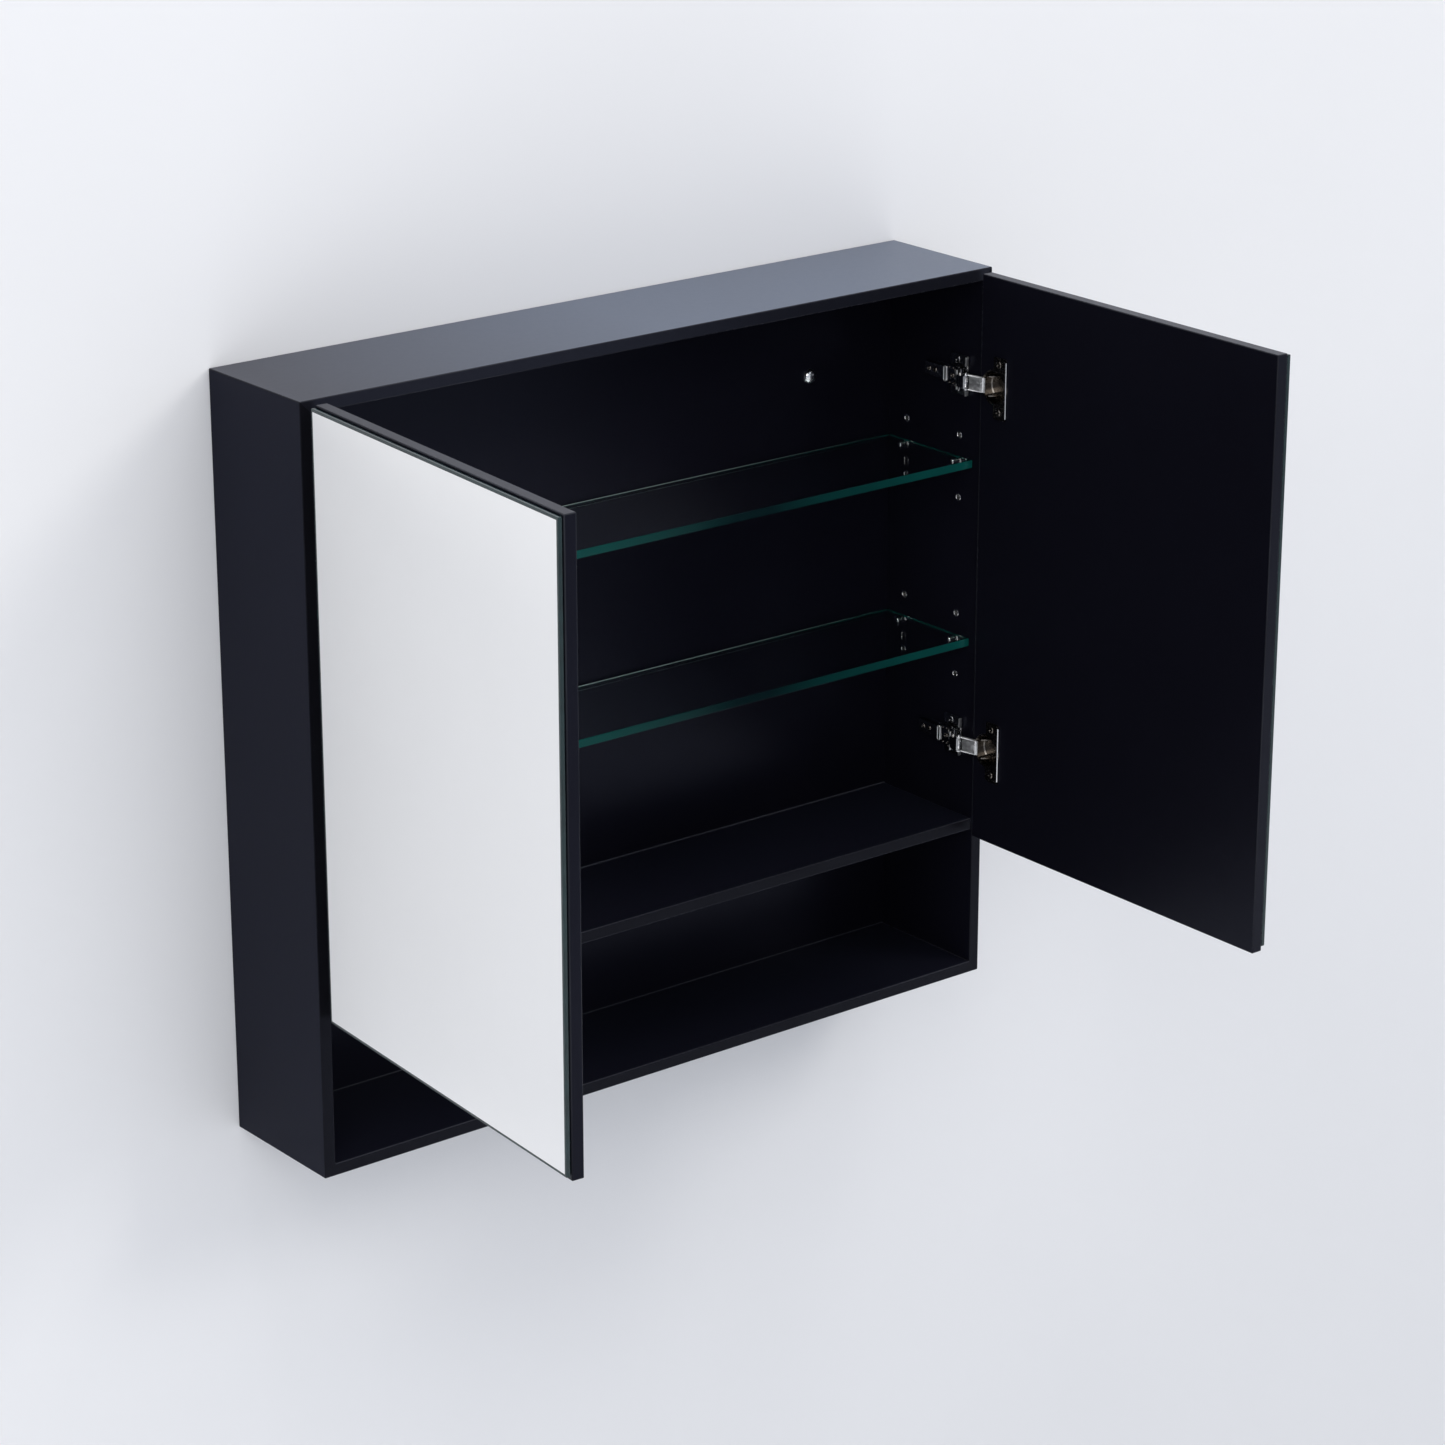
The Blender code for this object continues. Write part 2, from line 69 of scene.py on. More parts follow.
DOOR_LOW = -0.214
DOOR_HIGH = 0.366
DOOR_OUTER = CARCASS_HALF_WIDTH - 0.001
DOOR_MEETING = 0.0015
DOOR_GAP = 0.002
DOOR_BOARD = 0.012
TAPE = 0.001
MIRROR_GLASS = 0.004
DOOR_BACK = CARCASS_FRONT - DOOR_GAP
DOOR_FACE = DOOR_BACK - DOOR_BOARD
MIRROR_BACK = DOOR_FACE - TAPE
MIRROR_FACE = MIRROR_BACK - MIRROR_GLASS
MIRROR_BORDER = 0.0019

# Concealed hinges.  The cup is measured from the door's outer edge and its inner face, and the
# mounting plate from the side board's inner face.
CUP_FROM_EDGE = 0.0205
CUP_BORE_RADIUS = 0.0175
CUP_BORE_FLOOR = -0.0113
CUP_FLOOR = -0.0106
FLANGE_HALF_LENGTH = 0.0310
FLANGE_REACH = 0.0175
LINK_REACH = 0.0236
PLATE_RISE = 0.0022
STEM_HALF_WIDTH = 0.0075
WING_HALF_SPAN = 0.0205
BLOCK_HALF_WIDTH = 0.0055
PLATE_SCREW_LEVELS = (-0.0148, 0.0148)
WING_LIP_LEVELS = (-0.0150, 0.0150)
CUP_SCREW_LEVELS = (-0.024, 0.024)

SLEEVE_PITCH = 0.032
SLEEVE_ROWS = (-0.116, -0.037)
PIN_LEVELS = (0.163, -0.0215)

ARRIS = 0.0009
SHELF_STRIP_WIDTH = 0.0032
SHARP_DEGREES = 35.0
TINY = 1e-7


# ---------------------------------------------------------------- node helpers
class Graph:
    """A material's node tree, with short calls for the nodes that the finishes share."""

    def __init__(self, name):
        self.material = bpy.data.materials.new(name)
        self.material.use_nodes = True
        self.tree = self.material.node_tree
        self.tree.nodes.clear()
        self.output = self.tree.nodes.new("ShaderNodeOutputMaterial")
        self.shader = self.tree.nodes.new("ShaderNodeBsdfPrincipled")
        self.link(self.shader.outputs["BSDF"], self.output.inputs["Surface"])
        self.place = self.tree.nodes.new("ShaderNodeTexCoord").outputs["Object"]

    def link(self, source, target):
        self.tree.links.new(source, target)

    def stretched(self, scale, shift=(0.0, 0.0, 0.0)):
        node = self.tree.nodes.new("ShaderNodeMapping")
        node.inputs["Scale"].default_value = scale
        node.inputs["Location"].default_value = shift
        self.link(self.place, node.inputs["Vector"])
        return node.outputs["Vector"]

    def along(self, axis, place=None):
        node = self.tree.nodes.new("ShaderNodeSeparateXYZ")
        self.link(place or self.place, node.inputs["Vector"])
        return node.outputs[axis]

    def noise(self, scale, detail=2.0, roughness=0.5, place=None):
        node = self.tree.nodes.new("ShaderNodeTexNoise")
        node.inputs["Scale"].default_value = scale
        node.inputs["Detail"].default_value = detail
        node.inputs["Roughness"].default_value = roughness
        self.link(place or self.place, node.inputs["Vector"])
        return node.outputs["Fac"]

    def cells(self, scale):
        node = self.tree.nodes.new("ShaderNodeTexVoronoi")
        node.inputs["Scale"].default_value = scale
        self.link(self.place, node.inputs["Vector"])
        return node.outputs["Distance"]

    def spread(self, source, low, high, start=0.0, end=1.0):
        node = self.tree.nodes.new("ShaderNodeMapRange")
        node.inputs["From Min"].default_value = start
        node.inputs["From Max"].default_value = end
        node.inputs["To Min"].default_value = low
        node.inputs["To Max"].default_value = high
        self.link(source, node.inputs["Value"])
        return node.outputs["Result"]

    def math(self, operation, *values):
        node = self.tree.nodes.new("ShaderNodeMath")
        node.operation = operation
        for value, socket in zip(values, node.inputs):
            self.link(value, socket)
        return node.outputs["Value"]

    def add(self, first, second):
        return self.math("ADD", first, second)

    def multiply(self, first, second):
        return self.math("MULTIPLY", first, second)

    def mix(self, factor, first, second):
        node = self.tree.nodes.new("ShaderNodeMix")
        node.data_type = "RGBA"
        self.link(factor, node.inputs["Factor"])
        for colour, socket in ((first, node.inputs[6]), (second, node.inputs[7])):
            if isinstance(colour, tuple):
                socket.default_value = colour + (1.0,)
            else:
                self.link(colour, socket)
        return node.outputs[2]

    def bump(self, height, distance, strength):
        node = self.tree.nodes.new("ShaderNodeBump")
        node.inputs["Distance"].default_value = distance
        node.inputs["Strength"].default_value = strength
        self.link(height, node.inputs["Height"])
        return node.outputs["Normal"]

    def set(self, **values):
        for name, value in values.items():
            socket = self.shader.inputs[name.replace("_", " ")]
            if isinstance(value, tuple):
                socket.default_value = value + (1.0,)
            elif isinstance(value, (int, float)):
                socket.default_value = value
            else:
                self.link(value, socket)


# ---------------------------------------------------------------- finishes
def lacquer(name, dark, light, roughness, specks, ior=1.31, tint=(0.40, 0.44, 0.66), painted_sheen=None):
    """Satin blue-black paint on board: faint mottle, orange peel, soft rub marks and a little dust.

    A painted sheen is a paler colour laid over the paint as a painted reflection, weaker towards the
    cabinet's left end.
    """
    g = Graph(name)
    mottle = g.spread(g.noise(3.5, 3.0), 0.0, 1.0, 0.35, 0.7)
    colour = g.mix(mottle, dark, light)
    rub = g.noise(4.0, 3.0, 0.5, g.stretched((1.0, 1.0, 0.4)))
    dust = g.spread(g.cells(210.0), 1.0, 0.0, 0.0, 0.075)
    sparse = g.spread(g.noise(23.0, 2.0), 0.0, specks, 0.60, 0.66)
    colour = g.mix(g.multiply(dust, sparse), colour, (0.09, 0.095, 0.11))
    # Painted reflection on the top: a paler colour, strongest from the middle rightwards and faint at the
    # left end; thickness is its strength.
    if painted_sheen:
        thickness = g.spread(g.along("X"), 0.05, 1.0, -0.38, 0.0)
        painted_sheen_mask = g.multiply(thickness, g.spread(rub, 0.85, 1.0, 0.3, 0.7))
        colour = g.mix(painted_sheen_mask, colour, painted_sheen)
    gloss = g.spread(rub, roughness - 0.012, roughness + 0.018, 0.3, 0.72)
    gloss = g.add(gloss, g.spread(g.noise(180.0, 2.0), 0.0, 0.012, 0.4, 0.7))
    peel = g.bump(g.noise(750.0, 1.0, 0.4), 0.00002, 0.25)
    g.set(Base_Color=colour, Roughness=gloss, Normal=peel, IOR=ior, Specular_Tint=tint)
    g.set(Sheen_Weight=0.07, Sheen_Roughness=0.35, Sheen_Tint=(0.52, 0.62, 1.0))
    return g.material


def plated(name, dark, light, roughness, grain=1500.0, depth=0.00003):
    """Plated steel: brushed or tumbled grain, with roughness and tone that wander."""
    g = Graph(name)
    tone = g.spread(g.noise(140.0, 4.0, 0.6), 0.0, 1.0, 0.3, 0.7)
    colour = g.mix(tone, dark, light)
    gloss = g.spread(g.noise(420.0, 3.0), roughness * 0.7, roughness * 1.45, 0.3, 0.7)
    skin = g.bump(g.noise(grain, 2.0, 0.6), depth, 0.5)
    g.set(Base_Color=colour, Metallic=1.0, Roughness=gloss, Normal=skin)
    return g.material


def mirror_silver(name):
    """The silvered face of the mirror, nearly perfect, with the faintest wiping marks."""
    g = Graph(name)
    smear = g.noise(5.0, 4.0, 0.55, g.stretched((1.0, 1.0, 0.6)))
    colour = g.mix(g.spread(smear, 0.0, 1.0, 0.35, 0.65), (0.990, 0.985, 0.970), (0.975, 0.970, 0.955))
    gloss = g.spread(smear, 0.0, 0.012, 0.45, 0.75)
    wave = g.bump(g.noise(2.2, 1.0), 0.0004, 0.05)
    g.set(Base_Color=colour, Metallic=1.0, Roughness=gloss, Normal=wave)
    return g.material


def glass_edge(name, deep, bright, roughness):
    """Ground and polished edge of mirror glass: dark green, with the saw's faint ripple."""
    g = Graph(name)
    streak = g.noise(30.0, 2.0, 0.5, g.stretched((0.2, 0.2, 4.0)))
    colour = g.mix(g.spread(streak, 0.0, 1.0, 0.3, 0.7), deep, bright)
    gloss = g.spread(g.noise(260.0, 2.0), roughness * 0.6, roughness * 1.6, 0.3, 0.7)
    ripple = g.bump(g.noise(400.0, 1.0), 0.000004, 0.2)
    g.set(Base_Color=colour, Roughness=gloss, Normal=ripple, IOR=1.52, Transmission_Weight=0.25)
    return g.material


def shelf_edge(name, dull, lit, dull_at, lit_at, level):
    """Green edge of a shelf's glass with painted light along it: dull near one place, and lit green at
    lit_at from there.
    """
    g = Graph(name)
    distance = g.math("ABSOLUTE", g.along("X", g.stretched((1.0, 1.0, 1.0), (-dull_at, 0.0, 0.0))))
    # Painted light: the edge turns brighter green with distance from dull_at.
    reach = g.spread(distance, 0.0, 1.0, 0.02, lit_at)
    uneven = g.spread(g.noise(9.0, 2.0, 0.5, g.stretched((1.0, 0.0, 0.0))), 0.75, 1.15, 0.3, 0.7)
    g.set(Base_Color=g.mix(g.multiply(reach, uneven), dull, lit), IOR=1.52, Specular_IOR_Level=level)
    g.set(Roughness=g.spread(g.noise(260.0, 2.0), 0.08, 0.20, 0.3, 0.7))
    g.set(Normal=g.bump(g.noise(400.0, 1.0), 0.000004, 0.2), Transmission_Weight=0.08)
    return g.material


def clear_glass(name):
    """Clear float glass with a green cast in its depth and a few wiping marks."""
    g = Graph(name)
    smear = g.noise(8.0, 5.0, 0.6)
    colour = g.mix(g.spread(smear, 0.0, 1.0, 0.4, 0.7), (0.94, 0.985, 0.97), (0.90, 0.965, 0.95))
    gloss = g.spread(smear, 0.0, 0.03, 0.5, 0.8)
    g.set(Base_Color=colour, Roughness=gloss, IOR=1.52, Transmission_Weight=1.0)
    return g.material


def foam(name):
    """Black foam tape with open pores."""
    g = Graph(name)
    pores = g.cells(900.0)
    colour = g.mix(g.spread(pores, 0.0, 1.0, 0.0, 0.6), (0.004, 0.004, 0.005), (0.012, 0.012, 0.013))
    g.set(Base_Color=colour, Roughness=g.spread(pores, 0.75, 0.95), Normal=g.bump(pores, 0.0002, 0.6))
    return g.material


def painted_wall(name, colour_a, colour_b, one_sided):
    """Pale matt paint for the studio's wall and floor, clear from behind if it is one-sided."""
    g = Graph(name)
    tone = g.spread(g.noise(1.3, 3.0), 0.0, 1.0, 0.3, 0.7)
    g.set(Base_Color=g.mix(tone, colour_a, colour_b), Specular_IOR_Level=0.2)
    g.set(Roughness=g.spread(g.noise(3.0, 2.0), 0.6, 0.7), Normal=g.bump(g.noise(160.0, 3.0), 0.0003, 0.08))
    if one_sided:
        clear = g.tree.nodes.new("ShaderNodeBsdfTransparent")
        side = g.tree.nodes.new("ShaderNodeNewGeometry")
        blend = g.tree.nodes.new("ShaderNodeMixShader")
        g.link(side.outputs["Backfacing"], blend.inputs["Fac"])
        g.link(g.shader.outputs["BSDF"], blend.inputs[1])
        g.link(clear.outputs["BSDF"], blend.inputs[2])
        g.link(blend.outputs["Shader"], g.output.inputs["Surface"])
    return g.material


# Dark and light tone of the paint, roughness, amount of specks, and index of refraction.
LACQUER = lacquer("satin_black_carcass", (0.0037, 0.0035, 0.0066), (0.0046, 0.0043, 0.0080), 0.30, 0.5)
DOOR_LACQUER = lacquer("satin_black_door", (0.0033, 0.0031, 0.0056), (0.0040, 0.0038, 0.0068), 0.30, 0.4)
# Outer sides: a darker, bluer copy of the paint with a weaker reflection, as painted shade and a painted
# blue reflection.
OUTER_LACQUER = lacquer(
    "satin_black_outer_side_painted_shade", (0.0026, 0.0030, 0.0084), (0.0033, 0.0038, 0.0102), 0.32, 0.5, 1.165)
# Front edges: lighter, greyer copies of the paint as painted light from the front, with the top board's
# edge lightest as lit from above.
EDGE_LACQUER = lacquer(
    "satin_black_front_edge_painted_light", (0.0042, 0.0042, 0.0058), (0.0052, 0.0052, 0.0070), 0.30, 0.6, 1.22)
TOP_EDGE_LACQUER = lacquer(
    "satin_black_top_front_edge_painted_light", (0.0060, 0.0062, 0.0090), (0.0074, 0.0076, 0.0110), 0.28, 0.6, 1.40)
# The top's paint, bluer, with a painted reflection laid over it.
TOP_LACQUER = lacquer(
    "satin_black_top_with_painted_sheen", (0.0030, 0.0032, 0.0080), (0.0038, 0.0041, 0.0096), 0.30, 0.5, 1.36,
    painted_sheen=(0.075, 0.095, 0.135))
# Arrises: pale copies of the paint as painted highlights along the rounded edges, fainter on the side
# boards.
CARCASS_ARRIS = lacquer("carcass_arris_painted_highlight", (0.012, 0.012, 0.016), (0.034, 0.035, 0.041), 0.26, 0.9, 1.2)
SIDE_ARRIS = lacquer("side_arris_painted_highlight", (0.005, 0.005, 0.007), (0.012, 0.012, 0.015), 0.30, 0.6, 1.16)
DOOR_ARRIS = lacquer("door_arris_painted_highlight", (0.009, 0.009, 0.012), (0.026, 0.027, 0.032), 0.26, 0.9, 1.2)
# The paint ridge in the back corners is pale: a painted highlight line along each joint.
SEAM_LACQUER = lacquer("corner_ridge_painted_highlight", (0.030, 0.031, 0.036), (0.060, 0.062, 0.070), 0.28, 0.9)

SILVER = mirror_silver("mirror_silvering")
MIRROR_EDGE = glass_edge("mirror_ground_edge", (0.004, 0.016, 0.018), (0.010, 0.034, 0.036), 0.10)
# Shelf edges: green glass with painted light that brightens away from one place.
SHELF_EDGE = shelf_edge(
    "shelf_edge_painted_light", (0.003, 0.012, 0.014), (0.004, 0.086, 0.075), 0.11, 0.29, 0.04)
# A near-white painted highlight on a strip along the back of each shelf's top, standing in for light
# carried through the glass.
SHELF_STRIP = shelf_edge("shelf_back_painted_highlight", (0.010, 0.060, 0.056), (0.66, 0.84, 0.81), 0.40, 0.56, 0.3)
GLASS = clear_glass("clear_float_glass")

# Dark and light tone of the plating, roughness, and scale and depth of the grain.
# Hinge nickel, darker than the metal itself: painted shade.
NICKEL = plated("nickel_plate_painted_shade", (0.30, 0.30, 0.31), (0.42, 0.42, 0.42), 0.15, 1500.0, 0.000008)
BRIGHT_NICKEL = plated("bright_nickel", (0.74, 0.73, 0.72), (0.86, 0.85, 0.84), 0.18, 1500.0, 0.00001)
# Tumbled nickel with its speckled grain, lighter than the metal: painted highlight on the link, rims and
# lips.
SPECKLED_NICKEL = plated("tumbled_nickel_painted_highlight", (0.62, 0.62, 0.61), (0.92, 0.91, 0.90), 0.42, 900.0, 0.00012)
# Cup and small fittings: nickel much darker and browner than the metal, as painted shade.
CUP_NICKEL = plated("cup_nickel_painted_shade", (0.15, 0.135, 0.12), (0.24, 0.215, 0.19), 0.22, 1200.0, 0.00001)
CHROME = plated("polished_chrome", (0.80, 0.80, 0.80), (0.88, 0.88, 0.88), 0.07, 900.0, 0.00001)
ZINC = plated("zinc_steel", (0.42, 0.43, 0.44), (0.56, 0.57, 0.58), 0.34)
FOAM = foam("black_foam_tape")


# ---------------------------------------------------------------- mesh helpers
def new_piece(name, bm, materials):
    """An object from mesh data in progress, smooth but for its sharp edges."""
    bmesh.ops.recalc_face_normals(bm, faces=bm.faces)
    mesh = bpy.data.meshes.new(name)
    bm.to_mesh(mesh)
    bm.free()
    piece = bpy.data.objects.new(name, mesh)
    bpy.context.scene.collection.objects.link(piece)
    for material in materials:
        mesh.materials.append(material)
    mesh.shade_smooth()
    mesh.set_sharp_from_angle(angle=radians(SHARP_DEGREES))
    return piece


def mark_faces(piece):
    """Slots after the first: rounded arrises, front edges, the cabinet's outer sides and its top."""
    arris, front, side, top = 1, 2, 3, 4
    slots = len(piece.data.materials)
    flat = 0.99
    top_face = flat * (CARCASS_TOP - 0.001)
    side_face = flat * (CARCASS_HALF_WIDTH - 0.001)
    for face in piece.data.polygons:
        normal, centre = face.normal, face.center
        if max(abs(n) for n in normal) < flat:
            face.material_index = arris
        elif slots > front and normal.y < -flat:
            face.material_index = front
        elif slots > top and normal.z * centre.z > top_face and normal.z > 0:
            face.material_index = top
        elif slots > side and normal.x * centre.x > side_face:
            face.material_index = side
    return piece


def weight_normals(piece):
    """Keeps broad flat faces flat beside their rounded arrises."""
    modifier = piece.modifiers.new("weighted_normals", "WEIGHTED_NORMAL")
    modifier.keep_sharp = True
    modifier.weight = 100
    return piece


def place(piece, body, slot, *nodes):
    """Puts a piece on its body, in place of CAD nodes where any are named; slot is not used."""
    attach(piece, body)
    if nodes:
        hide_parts(*nodes)


def apply_modifiers(piece):
    """Makes a piece's mesh the result of its modifiers."""
    depsgraph = bpy.context.evaluated_depsgraph_get()
    mesh = bpy.data.meshes.new_from_object(piece.evaluated_get(depsgraph))
    piece.modifiers.clear()
    piece.data = mesh


def unite(piece, other):
    cut(piece, other, "UNION")


def cut(piece, cutter, operation="DIFFERENCE"):
    """Takes one piece out of another, or joins it on, and uses it up."""
    modifier = piece.modifiers.new("cut", "BOOLEAN")
    modifier.operation = operation
    modifier.solver = "EXACT"
    modifier.object = cutter
    apply_modifiers(piece)
    mesh = cutter.data
    bpy.data.objects.remove(cutter)
    bpy.data.meshes.remove(mesh)


def block(low, high):
    """A block between two corners, as mesh data in progress."""
    bm = bmesh.new()
    bmesh.ops.create_cube(bm, size=1.0)
    low, high = Vector(low), Vector(high)
    for v in bm.verts:
        v.co = Vector((low[i] + (v.co[i] + 0.5) * (high[i] - low[i]) for i in range(3)))
    return bm


def rounded_block(low, high, radius, segments):
    """A block with rounded arrises."""
    bm = block(low, high)
    bmesh.ops.bevel(
        bm, geom=bm.edges[:], offset=radius, segments=segments, profile=0.5,
        affect="EDGES", clamp_overlap=True)
    return bm


def turned(profile, axis, count, close_ends=True):
    """Turns (radius, height) points round an axis: "X", "Y" or "Z".

    Without close_ends the profile is a loop, and its last point joins its first.
    """
    bm = bmesh.new()
    rings = []
    for radius, height in profile:
        if radius < TINY:
            rings.append([bm.verts.new(on_axis(0.0, 0.0, height, axis))])
            continue
        ring = []
        for i in range(count):
            angle = 2 * pi * i / count
            ring.append(bm.verts.new(on_axis(radius * cos(angle), radius * sin(angle), height, axis)))
        rings.append(ring)
    pairs = list(zip(rings, rings[1:]))
    if not close_ends:
        pairs.append((rings[-1], rings[0]))
    for first, second in pairs:
        for i in range(count):
            j = (i + 1) % count
            if len(first) == 1 and len(second) == 1:
                continue
            if len(first) == 1:
                bm.faces.new((first[0], second[i], second[j]))
            elif len(second) == 1:
                bm.faces.new((first[i], first[j], second[0]))
            else:
                bm.faces.new((first[i], first[j], second[j], second[i]))
    return bm


def on_axis(a, b, height, axis):
    """A point at a height along an axis, with a and b across it."""
    return {"X": (height, a, b), "Y": (a, height, b), "Z": (a, b, height)}[axis]


def prism(outline, low, high):
    """Extrudes a plan outline between two heights."""
    bm = bmesh.new()
    bottom = [bm.verts.new((x, y, low)) for x, y in outline]
    top = [bm.verts.new((x, y, high)) for x, y in outline]
    bm.faces.new(bottom[::-1])
    bm.faces.new(top)
    for i in range(len(outline)):
        j = (i + 1) % len(outline)
        bm.faces.new((bottom[i], bottom[j], top[j], top[i]))
    bmesh.ops.recalc_face_normals(bm, faces=bm.faces)
    return bm


def moved(bm, matrix):
    bmesh.ops.transform(bm, matrix=matrix, verts=bm.verts)
    return bm


def joined(parts):
    """One mesh in progress from several."""
    whole = bmesh.new()
    for part in parts:
        mesh = bpy.data.meshes.new("part")
        part.to_mesh(mesh)
        part.free()
        whole.from_mesh(mesh)
        bpy.data.meshes.remove(mesh)
    return whole


def swing(side_word):
    """From a door's closed place to its place at rest."""
    pivot = HINGE_PLACE[side_word + "_door_hinge"]
    turn = Matrix.Rotation(SIDES[side_word] * radians(OPEN_DEGREES[side_word]), 4, "Z")
    return Matrix.Translation(pivot) @ turn @ Matrix.Translation(-pivot)


# ---------------------------------------------------------------- carcass
def carcass_shell():
    """The four mitred boards as one skin: a rectangular ring with rounded arrises and corners."""
    steps = 4
    corner = 0.0010
    back_flattening = 0.4
    front = CARCASS_FRONT + ARRIS
    back = -0.0004 - ARRIS * back_flattening
    section = []
    for centre_inset, centre_y, start, flattening in (
        (BOARD - ARRIS, front, 270.0, 1.0),
        (BOARD - ARRIS, back, 0.0, back_flattening),
        (ARRIS, back, 90.0, back_flattening),
        (ARRIS, front, 180.0, 1.0),
    ):
        for i in range(steps + 1):
            angle = radians(start + 90.0 * i / steps)
            section.append((
                centre_inset + ARRIS * cos(angle),
                centre_y + ARRIS * sin(angle) * flattening))
    bm = bmesh.new()
    rings = []
    for inset, y in section:
        half_w, half_h = CARCASS_HALF_WIDTH - inset, CARCASS_TOP - inset
        ring = []
        for sx, sz, start in ((1, 1, 0.0), (-1, 1, 90.0), (-1, -1, 180.0), (1, -1, 270.0)):
            for i in range(steps + 1):
                angle = radians(start + 90.0 * i / steps)
                x = sx * (half_w - corner) + corner * cos(angle)
                z = sz * (half_h - corner) + corner * sin(angle)
                ring.append(bm.verts.new((x, y, z)))
        rings.append(ring)
    for r, ring in enumerate(rings):
        after = rings[(r + 1) % len(rings)]
        for i in range(len(ring)):
            j = (i + 1) % len(ring)
            bm.faces.new((ring[i], ring[j], after[j], after[i]))
    bmesh.ops.recalc_face_normals(bm, faces=bm.faces)
    return bm


def carcass_board(name, cuts, edge, arris):
    """One board's share of the carcass skin, cut on its mitres and closed there."""
    bm = carcass_shell()
    for point, normal in cuts:
        bmesh.ops.bisect_plane(
            bm, geom=bm.verts[:] + bm.edges[:] + bm.faces[:], dist=TINY,
            plane_co=point, plane_no=normal, clear_outer=True)
        open_edges = [e for e in bm.edges if e.is_boundary]
        bmesh.ops.holes_fill(bm, edges=open_edges)
    return mark_faces(new_piece(name, bm, [LACQUER, arris, edge, OUTER_LACQUER, TOP_LACQUER]))


def sleeve_levels(pin):
    """A pin's own sleeve and its empty neighbours below and above."""
    return (pin - SLEEVE_PITCH, pin, pin + SLEEVE_PITCH)


def sleeve_place(side, row, level):
    """Takes a profile turned about +X to a side board's inner face, looking into the cabinet."""
    turn = Matrix.Rotation(pi if side > 0 else 0.0, 4, "Z")
    return Matrix.Translation((side * INNER_FACE, row, level)) @ turn


def shelf_bores(side):
    """Cutters for every sleeve in a side board."""
    bore = [(0.0, -0.0090), (0.0031, -0.0090), (0.0031, 0.004), (0.0, 0.004)]
    cutters = []
    for pin in PIN_LEVELS:
        for level in sleeve_levels(pin):
            for row in SLEEVE_ROWS:
                cutters.append(moved(turned(bore, "X", 20), sleeve_place(side, row, level)))
    return joined(cutters)


def build_carcass():
    w, h = CARCASS_HALF_WIDTH, CARCASS_TOP
    right_top = ((w, 0, h), (1, 0, -1))
    left_top = ((-w, 0, h), (-1, 0, -1))
    right_low = ((w, 0, -h), (1, 0, 1))
    left_low = ((-w, 0, -h), (-1, 0, 1))

    def flipped(*planes):
        return [(point, tuple(-n for n in normal)) for point, normal in planes]

    boards = {}
    for word, cuts, edge, arris in (
        ("top", (right_top, left_top), TOP_EDGE_LACQUER, CARCASS_ARRIS),
        ("bottom", (right_low, left_low), EDGE_LACQUER, CARCASS_ARRIS),
        ("left_side", flipped(left_top, left_low), EDGE_LACQUER, SIDE_ARRIS),
        ("right_side", flipped(right_top, right_low), EDGE_LACQUER, SIDE_ARRIS),
    ):
        boards[word] = carcass_board(word + "_board", cuts, edge, arris)
    for word, side in SIDES.items():
        cut(boards[word + "_side"], new_piece("bores", shelf_bores(side), [LACQUER]))
    for word, board in boards.items():
        place(weight_normals(board), "cabinet", "black_lacquer_carcass", word + "_panel")

    play = 0.0001
    low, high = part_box("middle_panel")
    middle = new_piece(
        "middle_board",
        rounded_block((-INNER_FACE + play, low.y, low.z), (INNER_FACE - play, high.y, high.z), ARRIS, 4),
        [LACQUER, CARCASS_ARRIS, EDGE_LACQUER])
    place(weight_normals(mark_faces(middle)), "cabinet", "black_lacquer_carcass", "middle_panel")
    use(LACQUER, "back_panel")
    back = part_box("back_panel")[0].y
    bead = 0.0009
    seams = []
    for level, up in ((-h + BOARD, 1), (low.z, -1), (high.z, 1), (h - BOARD, -1)):
        seams.append(seam_bead(back, level, up * bead))
    place(new_piece("back_seams", joined(seams), [SEAM_LACQUER]), "cabinet", "black_lacquer_carcass")


def seam_bead(back, level, reach):
    """The thin ridge of paint where the back panel meets a board, above it or, if negative, below, in a
    pale paint that is a painted highlight along the joint.
    """
    sunk = 0.0002
    section = (
        (back + sunk, level - reach * 0.2),
        (back - abs(reach), level - reach * 0.2),
        (back + sunk, level + reach),
    )
    bm = bmesh.new()
    ends = []
    for x in (-INNER_FACE + sunk, INNER_FACE - sunk):
        ends.append([bm.verts.new((x, y, z)) for y, z in section])
    bm.faces.new(ends[0])
    bm.faces.new(ends[1][::-1])
    for i in range(len(section)):
        j = (i + 1) % len(section)
        bm.faces.new((ends[0][i], ends[0][j], ends[1][j], ends[1][i]))
    return bm


def use(material, *names):
    """Gives carried-over CAD nodes their finish."""
    for name in names:
        node = NODES[name]
        node.data.materials.clear()
        node.data.materials.append(material)


